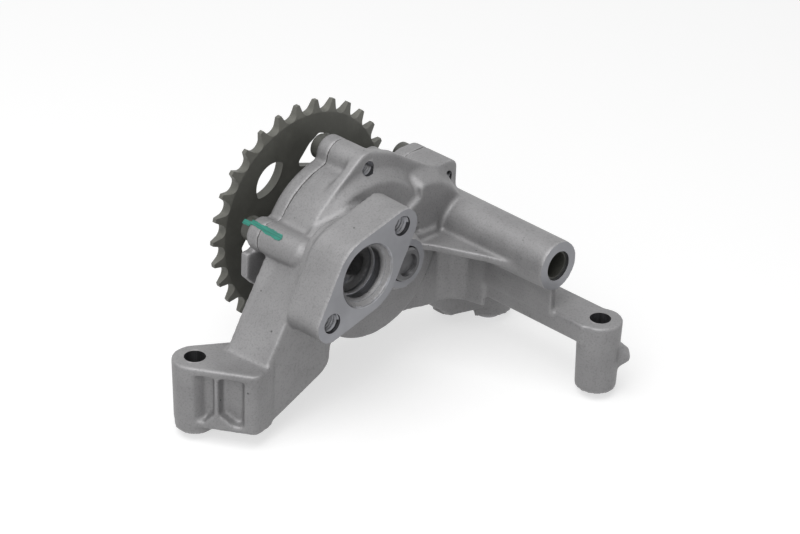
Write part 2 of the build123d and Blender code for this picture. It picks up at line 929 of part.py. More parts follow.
# Rotor key
with BuildPart() as rotor_key:
    with BuildSketch(at_height(shaft_radius - key_height / 2 + seat_gap)):
        with Locations((0, -parting_depth - rotor_width / 2)):
            Rectangle(key_width, key_length)
    extrude(amount=key_height - 2 * seat_gap)
    chamfer(rotor_key.edges().filter_by(Axis.Y), 0.3)
rotor_key.part.label = "rotor_key"
export_step(rotor_key.part, "parts/rotor_key.step")


def inner_rotor_points(steps_per_lobe, bunching):
    """Points on the inner rotor: the track of an outer lobe's centre, moved inwards by the lobe's radius.

    Bunching, from 0 to 1, crowds the points into the roots, where the outline turns fastest.
    """
    count = steps_per_lobe * inner_lobes
    first_root = 3 * pi / 2 / inner_lobes
    points = []
    for index in range(count):
        step = 2 * pi * index / count
        turn = first_root + step - bunching * sin(inner_lobes * step) / inner_lobes
        wobble = outer_lobes * turn - pi / 2
        track_x = lobe_circle_radius * cos(turn) + rotor_offset * cos(wobble)
        track_z = lobe_circle_radius * sin(turn) + rotor_offset * sin(wobble)
        slope_x = -lobe_circle_radius * sin(turn) - rotor_offset * outer_lobes * sin(wobble)
        slope_z = lobe_circle_radius * cos(turn) + rotor_offset * outer_lobes * cos(wobble)
        length = hypot(slope_x, slope_z)
        inward = lobe_radius + rotor_tip_gap
        points.append((track_x - inward * slope_z / length, track_z + inward * slope_x / length))
    return points


# Inner rotor
with BuildPart() as inner_rotor:
    with BuildSketch(behind(parting_depth + face_gap)):
        with BuildLine():
            Spline(*inner_rotor_points(16, 0.8), periodic=True)
        make_face()
        Circle(shaft_radius + seat_gap, mode=Mode.SUBTRACT)
        with Locations((0, shaft_radius - key_height / 2)):
            Rectangle(
                key_width + 2 * seat_gap,
                key_height + seat_gap,
                align=(Align.CENTER, Align.MIN),
                mode=Mode.SUBTRACT,
            )
    extrude(amount=rotor_width)
inner_rotor.part.label = "inner_rotor"
export_step(inner_rotor.part, "parts/inner_rotor.step")

# Outer rotor
with BuildPart() as outer_rotor:
    with BuildSketch(behind(parting_depth + face_gap)) as ring:
        with Locations(body_centre):
            Circle(outer_rotor_radius)
            Circle(root_radius + rotor_tip_gap, mode=Mode.SUBTRACT)
            with PolarLocations(lobe_circle_radius, outer_lobes):
                Circle(lobe_radius)
            Circle(outer_rotor_radius, mode=Mode.INTERSECT)
        corners = [v for v in ring.vertices() if hypot(v.X - body_centre[0], v.Y - body_centre[1]) < root_radius + 0.5]
        fillet(corners, root_fillet)
    extrude(amount=rotor_width)
outer_rotor.part.label = "outer_rotor"
export_step(outer_rotor.part, "parts/outer_rotor.step")

# Bushings
with BuildPart() as housing_bushing:
    add(
        disc(
            rotor_floor_depth,
            rotor_floor_depth + bushing_length - 0.2,
            (0, 0),
            bushing_radius - seat_gap / 2,
        )
    )
    add(disc(rotor_floor_depth - 1, 60, (0, 0), shaft_radius + running_gap), mode=Mode.SUBTRACT)
housing_bushing.part.label = "housing_bushing"
export_step(housing_bushing.part, "parts/housing_bushing.step")

with BuildPart() as cover_bushing:
    add(
        disc(
            cover_depth - hub_height + 0.5,
            cover_depth - hub_height + 0.5 + cover_bushing_length,
            (0, 0),
            bushing_radius - seat_gap / 2,
        )
    )
    add(disc(1, 40, (0, 0), shaft_radius + running_gap), mode=Mode.SUBTRACT)
cover_bushing.part.label = "cover_bushing"
export_step(cover_bushing.part, "parts/cover_bushing.step")

# Sprocket bolt and its washer
with BuildPart() as sprocket_washer:
    add(disc(-sprocket_width / 2 - washer_thickness, -sprocket_width / 2, (0, 0), washer_radius))
    add(disc(-20, 20, (0, 0), sprocket_bolt_radius + 0.2), mode=Mode.SUBTRACT)
sprocket_washer.part.label = "sprocket_washer"
export_step(sprocket_washer.part, "parts/sprocket_washer.step")

head_seat = -sprocket_width / 2 - washer_thickness
with BuildPart() as sprocket_bolt:
    add(disc(head_seat, head_seat + sprocket_bolt_length, (0, 0), sprocket_bolt_radius))
    with BuildSketch(behind(head_seat - sprocket_bolt_head_height)):
        RegularPolygon(sprocket_bolt_head, 6, major_radius=False)
    extrude(amount=sprocket_bolt_head_height)
sprocket_bolt.part.label = "sprocket_bolt"
export_step(sprocket_bolt.part, "parts/sprocket_bolt.step")

# Cover bolts
with BuildPart() as cover_bolts:
    for place in bolt_places:
        add(disc(cover_depth, cover_depth + bolt_length, place, bolt_radius - seat_gap))
        add(disc(cover_depth - bolt_head_height, cover_depth, place, bolt_head_radius))
    rims = cover_bolts.edges().filter_by(GeomType.CIRCLE).group_by(Axis.Y)[-1]
    fillet(rims, 0.7)
    with BuildSketch(behind(cover_depth - bolt_head_height)):
        with Locations(*bolt_places):
            RegularPolygon(hex_socket, 6, major_radius=False)
    extrude(amount=2.6, mode=Mode.SUBTRACT)
cover_bolts.part.label = "cover_bolts"
export_step(cover_bolts.part, "parts/cover_bolts.step")

# Dowel pins between housing and cover
with BuildPart() as cover_dowels:
    for place in dowel_places:
        add(disc(parting_depth - dowel_length / 2 + 1, parting_depth + dowel_length / 2, place, dowel_radius))
    chamfer(cover_dowels.edges().filter_by(GeomType.CIRCLE), 0.4)
cover_dowels.part.label = "cover_dowels"
export_step(cover_dowels.part, "parts/cover_dowels.step")

# Relief valve piston, a cup that opens towards its spring
with BuildPart() as relief_piston:
    add(
        disc(
            relief_seat_depth + face_gap,
            relief_seat_depth + piston_length,
            tube_axis,
            relief_bore_radius - running_gap,
        )
    )
    add(
        disc(
            relief_seat_depth + 3,
            relief_seat_depth + piston_length + 1,
            tube_axis,
            spring_radius + spring_wire + 0.2,
        ),
        mode=Mode.SUBTRACT,
    )
    chamfer(relief_piston.edges().filter_by(GeomType.CIRCLE).sort_by(Axis.Y)[-1], 0.5)
relief_piston.part.label = "relief_piston"
export_step(relief_piston.part, "parts/relief_piston.step")

# Spring cap pressed into the tube, open to the outside
cap_floor_depth = cap_mouth_depth - cap_length
with BuildPart() as relief_cap:
    add(disc(cap_mouth_depth, cap_floor_depth, tube_axis, relief_bore_radius - seat_gap))
    add(
        disc(cap_mouth_depth + 1, cap_floor_depth + cap_wall, tube_axis, relief_bore_radius - cap_wall),
        mode=Mode.SUBTRACT,
    )
relief_cap.part.label = "relief_cap"
export_step(relief_cap.part, "parts/relief_cap.step")

# Relief valve spring
spring_start = relief_seat_depth + 3 + spring_wire + 0.1
spring_end = cap_floor_depth - spring_wire - 0.1
with BuildPart() as relief_spring:
    with BuildLine() as coil:
        Helix(
            pitch=(spring_end - spring_start) / spring_turns,
            height=spring_end - spring_start,
            radius=spring_radius,
            center=(tube_axis[0], -spring_start, tube_axis[1]),
            direction=(0, -1, 0),
        )
    with BuildSketch(Plane(origin=coil.line @ 0, z_dir=coil.line % 0)):
        Circle(spring_wire)
    sweep()
relief_spring.part.label = "relief_spring"
export_step(relief_spring.part, "parts/relief_spring.step")

# Hollow dowel in the third foot
with BuildPart() as mounting_dowel:
    add(post(mount_z - sleeve_stand, mount_z, port_foot, sleeve_radius))
    chamfer(mounting_dowel.edges().filter_by(GeomType.CIRCLE).sort_by(Axis.Z)[0], 0.6)
    add(post(mount_z, mount_z - sleeve_stand + sleeve_length, port_foot, sleeve_radius + sleeve_step))
    add(
        post(mount_z - 20, mount_z + 20, port_foot, sleeve_radius - sleeve_wall),
        mode=Mode.SUBTRACT,
    )
mounting_dowel.part.label = "mounting_dowel"
export_step(mounting_dowel.part, "parts/mounting_dowel.step")

# Plug of the drilled pressure gallery
with BuildPart() as gallery_plug:
    with BuildSketch(Plane.YZ.offset(arm_right_x - 5)):
        with Locations((-gallery_depth, gallery_z)):
            Circle(gallery_radius - seat_gap / 2)
    extrude(amount=5)
gallery_plug.part.label = "gallery_plug"
export_step(gallery_plug.part, "parts/gallery_plug.step")
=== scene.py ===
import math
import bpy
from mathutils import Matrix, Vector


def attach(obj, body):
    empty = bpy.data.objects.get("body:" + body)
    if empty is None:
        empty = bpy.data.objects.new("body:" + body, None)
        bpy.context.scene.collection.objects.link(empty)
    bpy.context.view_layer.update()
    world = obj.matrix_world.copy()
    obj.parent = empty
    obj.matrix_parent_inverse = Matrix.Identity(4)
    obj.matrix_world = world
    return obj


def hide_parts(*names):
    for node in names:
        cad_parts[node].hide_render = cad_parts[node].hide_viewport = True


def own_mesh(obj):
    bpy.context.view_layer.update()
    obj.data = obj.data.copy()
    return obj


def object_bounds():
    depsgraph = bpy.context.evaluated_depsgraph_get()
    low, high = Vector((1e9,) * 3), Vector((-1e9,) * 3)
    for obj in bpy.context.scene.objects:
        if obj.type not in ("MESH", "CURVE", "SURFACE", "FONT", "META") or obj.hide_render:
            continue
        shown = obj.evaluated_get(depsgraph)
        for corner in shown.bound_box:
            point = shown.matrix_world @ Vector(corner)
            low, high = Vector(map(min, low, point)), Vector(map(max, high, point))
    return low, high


bl_info = {
    "name": "Engine oil pump dressing",
    "version": (1, 0, 0),
    "blender": (4, 5, 0),
    "location": "View3D > Sidebar > Oil Pump",
    "description": "Dresses the oil pump's castings, steel pieces and studio",
    "category": "Object",
}

import bpy
import numpy as np
from mathutils import Vector

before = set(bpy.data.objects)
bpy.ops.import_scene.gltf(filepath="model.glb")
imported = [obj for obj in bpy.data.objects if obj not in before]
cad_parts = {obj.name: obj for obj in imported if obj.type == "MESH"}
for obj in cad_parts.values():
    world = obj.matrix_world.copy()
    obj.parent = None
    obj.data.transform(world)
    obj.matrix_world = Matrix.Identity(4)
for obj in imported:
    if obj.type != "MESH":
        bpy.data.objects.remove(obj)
CAD_LOW, CAD_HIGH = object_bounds()

MM = 0.001

# Places of the CAD nodes that the machined surfaces follow, in metres
JOINT_Y = -0.020
FLANGE_Y = -0.067
TUBE_END_Y = -0.095
SHAFT_BOSS_Y = -0.059
REAR_WALL_Y = -0.036
FEET_Z = -0.055
SUCTION = (-0.0285, 0.0086)
FLANGE_HOLES = ((-0.01099, 0.02369), (-0.04691, -0.00489))
TOP_BOLT = (0.0012, 0.032)
RIGHT_BOLT = (0.047, 0.0133)
LEFT_BOLT = (-0.0354, 0.0086)
RELIEF = (0.0487, -0.0043)
PLUG = (-0.0385, -0.011)

# How near a machined plane the casting's points are pulled onto it, and how far the planes reach
PLANE_REACH = 0.0006
FLANGE_SIDE_X = 0.006
JOINT_SIDE_X = -0.055
ROUND_FACE_RADIUS = 0.0115

# Metal that a plug adds round a hole before the hole is cut again, and how far the cutter stands out
PLUG_WALL = 0.001
CUTTER_STAND = 0.001

# Straight holes as (mouth, floor, radius)
DRILLED = (
    ((FLANGE_HOLES[0][0], FLANGE_Y, FLANGE_HOLES[0][1]), (FLANGE_HOLES[0][0], -0.0535, FLANGE_HOLES[0][1]), 0.0041),
    ((FLANGE_HOLES[1][0], FLANGE_Y, FLANGE_HOLES[1][1]), (FLANGE_HOLES[1][0], -0.0535, FLANGE_HOLES[1][1]), 0.0041),
    ((TOP_BOLT[0], REAR_WALL_Y, TOP_BOLT[1]), (TOP_BOLT[0], -0.0310, TOP_BOLT[1]), 0.0031),
    ((RIGHT_BOLT[0], REAR_WALL_Y, RIGHT_BOLT[1]), (RIGHT_BOLT[0], -0.0325, RIGHT_BOLT[1]), 0.0023),
    ((0, SHAFT_BOSS_Y, 0), (0, -0.0520, 0), 0.0074),
    ((RELIEF[0], TUBE_END_Y, RELIEF[1]), (RELIEF[0], -0.0840, RELIEF[1]), 0.0062),
    ((-0.0784, -0.0251, -0.025), (-0.0784, -0.0251, -0.0551), 0.00425),
    ((0.0583, -0.1104, -0.025), (0.0583, -0.1104, -0.0551), 0.00425),
    ((0.0728, -0.0385, -0.025), (0.0728, -0.0385, -0.047), 0.00425),
)

SPILL = ((0.069, -0.055, RELIEF[1]), (0.0528, -0.055, RELIEF[1]), 0.003)

# The stepped suction bore as (radius, y) in millimetres
SUCTION_STEPS = (
    (12.6, -66.4), (11.6, -65.3), (10.7, -64.3), (10.4, -63.9), (10.4, -60.2), (10.25, -59.9), (9.85, -59.8),
    (9.7, -59.6), (9.7, -57.6), (9.5, -57.3), (9.2, -57.25), (9.1, -57.0), (9.1, -53.0),
)

# Cast lumps as (start, end, radius): round the gallery's plug, over the outlet's bore, at the suction port
# and round the spill hole
CAST_LUMPS = (
    ((0.048, *PLUG), (0.0655, *PLUG), 0.0074),
    ((0.0588, -0.0368, -0.034), (0.0588, -0.0368, -0.0164), 0.0078, 0.0068),
    ((-0.0115, -0.0385, 0.0172), (-0.0115, -0.0426, 0.0168), 0.0075, 0.0045),
    ((0.0592, -0.055, RELIEF[1]), (0.0546, -0.055, RELIEF[1]), 0.0038),
)

# The left block's hollow side: its place and direction seen from above, then its filling and its two pockets
# as outlines of (along, height) with their depth, nearest the face first, in millimetres
BLOCK_PLACE, BLOCK_ALONG = (-80.876, -39.347), (0.5302, -0.8479)
BLOCK_FILLING = (
    (-2.6, ((-9.0, -50.0), (11.6, -50.0), (11.6, -27.2), (-9.0, -27.2))),
    (-9.0, ((-9.0, -50.0), (11.6, -50.0), (11.6, -27.2), (-9.0, -27.2))),
)
BLOCK_POCKETS = (
    (
        (-0.5, ((-9.6, -49.0), (-4.6, -49.0), (-0.5, -44.6), (-0.5, -28.1), (-9.6, -28.1))),
        (-5.0, ((-5.2, -48.1), (-4.9, -48.1), (-2.0, -44.3), (-2.0, -29.1), (-5.2, -29.1))),
    ),
    (
        (-0.5, ((6.6, -49.0), (11.3, -49.0), (11.3, -28.1), (0.5, -28.1), (0.5, -44.6))),
        (-5.0, ((7.2, -48.1), (9.6, -48.1), (9.6, -29.1), (2.0, -29.1), (2.0, -44.3))),
    ),
)


# Settings that a user would change


class CastingSettings(bpy.types.PropertyGroup):
    """How soft the two castings are, and where they were machined."""

    grain: bpy.props.FloatProperty(
        name="Skin grid", description="Grid that the casting's skin is rebuilt on",
        default=0.00065, unit="LENGTH", precision=5,
    )
    passes: bpy.props.IntProperty(
        name="Smoothing", description="Rounds of smoothing that turn sharp corners into cast fillets",
        default=5, min=1, max=40,
    )
    triangles: bpy.props.IntProperty(
        name="Triangles", description="Most triangles that one casting keeps",
        default=170000, min=1000,
    )
    skin: bpy.props.FloatVectorProperty(
        name="Cast skin", description="Colour of the cast aluminium",
        default=(0.287, 0.284, 0.288), subtype="COLOR", size=3,
    )
    cut: bpy.props.FloatVectorProperty(
        name="Machined face", description="Colour of the machined aluminium",
        default=(0.305, 0.308, 0.328), subtype="COLOR", size=3,
    )


class SteelSettings(bpy.types.PropertyGroup):
    """Colours of the steel and bronze pieces."""

    black: bpy.props.FloatVectorProperty(
        name="Black oxide", description="Colour of the sprocket and the bolts",
        default=(0.128, 0.129, 0.114), subtype="COLOR", size=3,
    )
    ground: bpy.props.FloatVectorProperty(
        name="Ground steel", description="Colour of the shaft and the dowels",
        default=(0.33, 0.33, 0.34), subtype="COLOR", size=3,
    )
    bronze: bpy.props.FloatVectorProperty(
        name="Bushing bronze", description="Colour of the two bushings",
        default=(0.50, 0.34, 0.17), subtype="COLOR", size=3,
    )
    paint: bpy.props.FloatVectorProperty(
        name="Paint stroke", description="Colour of the inspector's paint stroke",
        default=(0.022, 0.205, 0.155), subtype="COLOR", size=3,
    )


class StudioSettings(bpy.types.PropertyGroup):
    """Camera and floor."""

    lens: bpy.props.FloatProperty(
        name="Lens", description="Focal length on a 36 mm sensor", default=112.5, unit="CAMERA",
    )
    place: bpy.props.FloatVectorProperty(
        name="Camera place", description="Where the camera stands",
        default=(-0.613035, -0.639017, 0.468811), subtype="TRANSLATION", size=3,
    )
    turn: bpy.props.FloatVectorProperty(
        name="Camera turn", description="How the camera is turned",
        default=(math.radians(60.85), math.radians(-1.87), math.radians(-45.40)), subtype="EULER", size=3,
    )
    floor: bpy.props.FloatVectorProperty(
        name="Floor", description="Colour of the floor", default=(0.5, 0.5, 0.5), subtype="COLOR", size=3,
    )


# Materials


def new_material(name, colour, metal, rough):
    """A material, its node tree and its shader, with plain values set."""
    material = bpy.data.materials.new(name)
    material.use_nodes = True
    tree = material.node_tree
    shader = tree.nodes["Principled BSDF"]
    shader.inputs["Base Color"].default_value = (*colour, 1)
    shader.inputs["Metallic"].default_value = metal
    shader.inputs["Roughness"].default_value = rough
    return material, tree, shader


def node(tree, kind, settings=None, **values):
    """One node, its settings and the values or links of its inputs."""
    made = tree.nodes.new(kind)
    for key, value in (settings or {}).items():
        setattr(made, key, value)
    for key, value in values.items():
        socket = made.inputs[int(key[1:])] if key[0] == "i" and key[1:].isdigit() else made.inputs[key]
        if isinstance(value, bpy.types.NodeSocket):
            tree.links.new(value, socket)
        else:
            socket.default_value = value
    return made


def ramp(tree, value, stops):
    """A colour ramp through stops of (place, colour)."""
    made = node(tree, "ShaderNodeValToRGB", Fac=value)
    elements = made.color_ramp.elements
    while len(elements) < len(stops):
        elements.new(0.5)
    for element, (place, colour) in zip(elements, stops):
        element.position = place
        element.color = (*colour, 1) if len(colour) == 3 else colour
    return made.outputs["Color"]


def tones(colour, dark, light):
    """Two tones of one colour."""
    return tuple(c * dark for c in colour), tuple(min(1, c * light) for c in colour)


def object_place(tree, scale=(1, 1, 1)):
    """The surface's place on the piece, stretched by scale."""
    place = node(tree, "ShaderNodeTexCoord").outputs["Object"]
    return node(tree, "ShaderNodeMapping", Vector=place, Scale=scale).outputs["Vector"]


def blended(tree, how, share, under, over):
    """One colour mixed with or multiplied by another."""
    mixed = node(tree, "ShaderNodeMix", {"data_type": "RGBA", "blend_type": how}, i0=share, i6=under, i7=over)
    return mixed.outputs[2]


def bumped(tree, shader, height, distance, strength=1.0):
    """Joins a height to the shader's normal."""
    bump = node(tree, "ShaderNodeBump", Height=height, Distance=distance, Strength=strength)
    tree.links.new(bump.outputs["Normal"], shader.inputs["Normal"])


def seam_line(tree, colour, level, half):
    """Darkens a colour in a thin, uneven line across the shaft's direction at one depth."""
    place = node(tree, "ShaderNodeTexCoord").outputs["Object"]
    parts = node(tree, "ShaderNodeSeparateXYZ", Vector=place).outputs
    depth = parts["Y"]
    body = node(tree, "ShaderNodeMath", {"operation": "GREATER_THAN"}, i0=parts["X"], i1=-0.05).outputs["Value"]
    waver = node(tree, "ShaderNodeTexNoise", Vector=place, Scale=160.0, Detail=2.0).outputs["Fac"]
    width = node(tree, "ShaderNodeMapRange", Value=waver, i1=0.3, i2=0.75, i3=half * 0.4, i4=half * 1.8)
    away = node(tree, "ShaderNodeMath", {"operation": "SUBTRACT"}, i0=depth, i1=level).outputs["Value"]
    away = node(tree, "ShaderNodeMath", {"operation": "ABSOLUTE"}, i0=away).outputs["Value"]
    share = node(tree, "ShaderNodeMath", {"operation": "DIVIDE"}, i0=away, i1=width.outputs["Result"]).outputs["Value"]
    tone = ramp(tree, share, ((0.55, (0.22, 0.215, 0.21)), (1.0, (1, 1, 1))))
    return blended(tree, "MULTIPLY", body, colour, tone)


def cast_aluminium(name, colour):
    """Die-cast skin: speckle, drag marks, pinholes, burnished edges with a painted highlight, and painted shade in the
    hollow corners.
    """
    material, tree, shader = new_material(name, colour, 0.45, 0.5)
    place = object_place(tree)
    flow = node(tree, "ShaderNodeTexNoise", Vector=place, Scale=46.0, Detail=5.0, Roughness=0.6)
    grain = node(tree, "ShaderNodeTexNoise", Vector=place, Scale=1250.0, Detail=3.0, Roughness=0.65)
    drag = node(tree, "ShaderNodeTexNoise", Vector=object_place(tree, (1500, 170, 900)), Scale=1.0, Detail=4.0,
                Distortion=0.8)
    pits = node(tree, "ShaderNodeTexVoronoi", Vector=place, Scale=230.0)
    dark, light = tones(colour, 0.84, 1.13)
    tint = ramp(tree, flow.outputs["Fac"], ((0.3, dark), (0.52, colour), (0.72, light)))
    speckle = ramp(tree, grain.outputs["Fac"], ((0.3, (0.8, 0.8, 0.8)), (0.5, (1, 1, 1)), (0.72, (1.0, 1.0, 1.0))))
    tint = blended(tree, "MULTIPLY", 1.0, tint, speckle)
    drawn = ramp(tree, drag.outputs["Fac"], ((0.58, (0, 0, 0)), (0.78, (0.22, 0.22, 0.22))))
    tint = blended(tree, "MIX", drawn, tint, (*tones(colour, 1, 1.35)[1], 1))
    pit = ramp(tree, pits.outputs["Distance"], ((0.05, (0.35, 0.35, 0.35)), (0.13, (1, 1, 1))))
    spots = node(tree, "ShaderNodeTexNoise", Vector=place, Scale=150.0, Detail=1.0)
    chance = ramp(tree, spots.outputs["Fac"], ((0.60, (0, 0, 0)), (0.64, (1, 1, 1))))
    tint = blended(tree, "MULTIPLY", chance, tint, pit)
    edge = node(tree, "ShaderNodeNewGeometry").outputs["Pointiness"]
    # Convex edges painted lighter: burnished wear and a painted highlight.
    burnish_and_highlight = node(tree, "ShaderNodeMapRange", Value=edge, i1=0.52, i2=0.62, i3=0.0, i4=0.75).outputs["Result"]
    burnish_and_highlight = node(tree, "ShaderNodeMath", {"operation": "MULTIPLY"}, i0=burnish_and_highlight, i1=grain.outputs["Fac"])
    tint = blended(tree, "MIX", burnish_and_highlight.outputs["Value"], tint, (*tones(colour, 1, 2.2)[1], 1))
    # Hollow corners painted darker: painted shade where less light reaches.
    corner = node(tree, "ShaderNodeMapRange", Value=edge, i1=0.47, i2=0.36, i3=0.0, i4=0.55).outputs["Result"]
    tint = blended(tree, "MIX", corner, tint, (*tones(colour, 0.45, 1)[0], 1))
    tree.links.new(seam_line(tree, tint, JOINT_Y, 0.0003), shader.inputs["Base Color"])
    gloss = node(tree, "ShaderNodeMapRange", Value=flow.outputs["Fac"], i3=0.42, i4=0.6)
    tree.links.new(gloss.outputs["Result"], shader.inputs["Roughness"])
    height = node(
        tree, "ShaderNodeMath", {"operation": "MULTIPLY_ADD"}, i0=grain.outputs["Fac"], i1=0.45, i2=flow.outputs["Fac"]
    )
    bumped(tree, shader, height.outputs["Value"], 0.0004, 0.6)
    return material


def machined_aluminium(name, colour):
    """A milled face: fine straight tool marks and a slightly cooler, smoother metal."""
    material, tree, shader = new_material(name, colour, 0.45, 0.36)
    place = object_place(tree, (240, 240, 2600))
    marks = node(tree, "ShaderNodeTexNoise", Vector=place, Scale=1.0, Detail=3.0, Roughness=0.5)
    cloud = node(tree, "ShaderNodeTexNoise", Vector=object_place(tree), Scale=70.0, Detail=3.0)
    dark, light = tones(colour, 0.9, 1.08)
    tint = ramp(tree, cloud.outputs["Fac"], ((0.35, dark), (0.65, light)))
    tree.links.new(tint, shader.inputs["Base Color"])
    gloss = node(tree, "ShaderNodeMapRange", Value=marks.outputs["Fac"], i3=0.3, i4=0.44)
    tree.links.new(gloss.outputs["Result"], shader.inputs["Roughness"])
    bumped(tree, shader, marks.outputs["Fac"], 0.00003, 0.6)
    return material


def turned_aluminium(name, colour, rough):
    """A bored or tapped surface: bright metal with fine rings left by the tool."""
    material, tree, shader = new_material(name, colour, 0.9, rough)
    rings = node(tree, "ShaderNodeTexNoise", Vector=object_place(tree, (60, 2600, 60)), Scale=1.0, Detail=4.0)
    cloud = node(tree, "ShaderNodeTexNoise", Vector=object_place(tree), Scale=240.0, Detail=2.0)
    dark, light = tones(colour, 0.66, 1.22)
    tint = ramp(tree, rings.outputs["Fac"], ((0.36, dark), (0.5, colour), (0.62, light)))
    stain = ramp(tree, cloud.outputs["Fac"], ((0.3, (0.75, 0.74, 0.7)), (0.6, (1, 1, 1))))
    tree.links.new(blended(tree, "MULTIPLY", 1.0, tint, stain), shader.inputs["Base Color"])
    bumped(tree, shader, rings.outputs["Fac"], 0.00006, 0.6)
    return material


def black_steel(name, colour, rough, rim=None):
    """Black oxide on steel: mottled, and lighter beyond a rim's radius round the shaft: tooth wear and a painted
    highlight.
    """
    material, tree, shader = new_material(name, colour, 0.3, rough)
    place = object_place(tree)
    cloud = node(tree, "ShaderNodeTexNoise", Vector=place, Scale=85.0, Detail=6.0, Roughness=0.65)
    grain = node(tree, "ShaderNodeTexNoise", Vector=place, Scale=1500.0, Detail=2.0)
    dark, light = tones(colour, 0.82, 1.25)
    tint = ramp(tree, cloud.outputs["Fac"], ((0.3, dark), (0.55, colour), (0.75, light)))
    # Teeth beyond the rim painted lighter: tooth wear and a painted highlight where the teeth face the light.
    if rim is not None:
        flat = object_place(tree, (1, 0, 1))
        reach = node(tree, "ShaderNodeVectorMath", {"operation": "LENGTH"}, i0=flat).outputs["Value"]
        wear_and_highlight = node(tree, "ShaderNodeMapRange", Value=reach, i1=rim - 0.0004, i2=rim + 0.0006, i3=0.0, i4=0.3)
        wear_and_highlight = node(
            tree, "ShaderNodeMath", {"operation": "MULTIPLY"}, i0=wear_and_highlight.outputs["Result"], i1=cloud.outputs["Fac"]
        )
        tint = blended(tree, "MIX", wear_and_highlight.outputs["Value"], tint, (0.30, 0.29, 0.26, 1))
    tree.links.new(tint, shader.inputs["Base Color"])
    gloss = node(tree, "ShaderNodeMapRange", Value=cloud.outputs["Fac"], i3=rough - 0.08, i4=rough + 0.1)
    tree.links.new(gloss.outputs["Result"], shader.inputs["Roughness"])
    bumped(tree, shader, grain.outputs["Fac"], 0.00012, 0.35)
    return material


def ground_steel(name, colour, rough, lines):
    """Ground or drawn metal with fine lines square to the shaft."""
    material, tree, shader = new_material(name, colour, 0.85, rough)
    marks = node(tree, "ShaderNodeTexNoise", Vector=object_place(tree, lines), Scale=1.0, Detail=3.0)
    dark, light = tones(colour, 0.85, 1.12)
    tint = ramp(tree, marks.outputs["Fac"], ((0.3, dark), (0.7, light)))
    tree.links.new(tint, shader.inputs["Base Color"])
    gloss = node(tree, "ShaderNodeMapRange", Value=marks.outputs["Fac"], i3=rough - 0.06, i4=rough + 0.08)
    tree.links.new(gloss.outputs["Result"], shader.inputs["Roughness"])
    bumped(tree, shader, marks.outputs["Fac"], 0.00002, 0.5)
    return material


def brushed_paint(name, colour):
    """A thin stroke of paint, streaky along its length."""
    material, tree, shader = new_material(name, colour, 0.0, 0.42)
    streaks = node(tree, "ShaderNodeTexNoise", Vector=object_place(tree, (1500, 130, 1500)), Scale=1.0, Detail=4.0)
    dark, light = tones(colour, 0.7, 1.35)
    tint = ramp(tree, streaks.outputs["Fac"], ((0.35, dark), (0.5, colour), (0.68, light)))
    tree.links.new(tint, shader.inputs["Base Color"])
    bumped(tree, shader, streaks.outputs["Fac"], 0.00006, 0.7)
    return material


def larger(tree, one, other):
    """The larger of two values."""
    return node(tree, "ShaderNodeMath", {"operation": "MAXIMUM"}, i0=one, i1=other).outputs["Value"]


def seen_ray(tree):
    """One on rays that show the background: straight, mirrored or through glass."""
    path = node(tree, "ShaderNodeLightPath").outputs
    straight = larger(tree, path["Is Camera Ray"], path["Is Glossy Ray"])
    return larger(tree, straight, path["Is Transmission Ray"])


def wear(cad_node, material):
    """Gives a carried-over CAD node its material."""
    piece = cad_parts[cad_node]
    piece.data.materials.clear()
    piece.data.materials.append(material)


# Making pieces


def choose(piece):
    """Makes one piece the only selected and active one."""
    bpy.ops.object.select_all(action="DESELECT")
    piece.select_set(True)
    bpy.context.view_layer.objects.active = piece


def finish_with(piece, kind, **settings):
    """Adds a modifier, sets it and applies it."""
    choose(piece)
    modifier = piece.modifiers.new(kind.lower(), kind)
    for key, value in settings.items():
        setattr(modifier, key, value)
    bpy.ops.object.modifier_apply(modifier=modifier.name)


def points_of(piece):
    """The piece's points as an array, in metres."""
    points = np.zeros(len(piece.data.vertices) * 3, np.float32)
    piece.data.vertices.foreach_get("co", points)
    return points.reshape(-1, 3)


def set_points(piece, points):
    """Puts an array back as the piece's points."""
    piece.data.vertices.foreach_set("co", np.ascontiguousarray(points, np.float32).ravel())
    piece.data.update()


def apply_place(piece):
    """Puts a piece's place, turn and size into its mesh."""
    choose(piece)
    bpy.ops.object.transform_apply(location=True, rotation=True, scale=True)


def bar(start, end, radius, end_radius=None):
    """A round bar or cone from one place to another."""
    start, end = Vector(start), Vector(end)
    bpy.ops.object.select_all(action="DESELECT")
    bpy.ops.mesh.primitive_cone_add(
        vertices=96, radius1=radius, radius2=radius if end_radius is None else end_radius,
        depth=(end - start).length, location=(start + end) / 2,
        rotation=(end - start).to_track_quat("Z", "Y").to_euler(),
    )
    made = bpy.context.active_object
    apply_place(made)
    return made


def drafted_block(near, far):
    """A closed block between two outlines at two depths behind the left block's side."""
    bpy.ops.object.select_all(action="DESELECT")
    bpy.ops.mesh.primitive_cylinder_add(vertices=len(near[1]), location=(0, 0, 0))
    made = bpy.context.active_object
    points = points_of(made)
    along = np.array((*BLOCK_ALONG, 0.0))
    outwards = np.array((BLOCK_ALONG[1], -BLOCK_ALONG[0], 0.0))
    for side, (depth, outline) in ((points[:, 2] < 0, near), (points[:, 2] > 0, far)):
        spread, heights = (np.array(column)[:, None] for column in zip(*outline))
        flat = np.array((*BLOCK_PLACE, 0.0)) + spread * along + depth * outwards
        points[side] = (flat + heights * np.array((0, 0, 1.0))) * MM
    set_points(made, points)
    face_outwards(made)
    return made


def join_to(piece, lumps):
    """Joins lumps into a piece; the rebuilt skin then melts them together."""
    choose(piece)
    for lump in lumps:
        lump.select_set(True)
    bpy.ops.object.join()


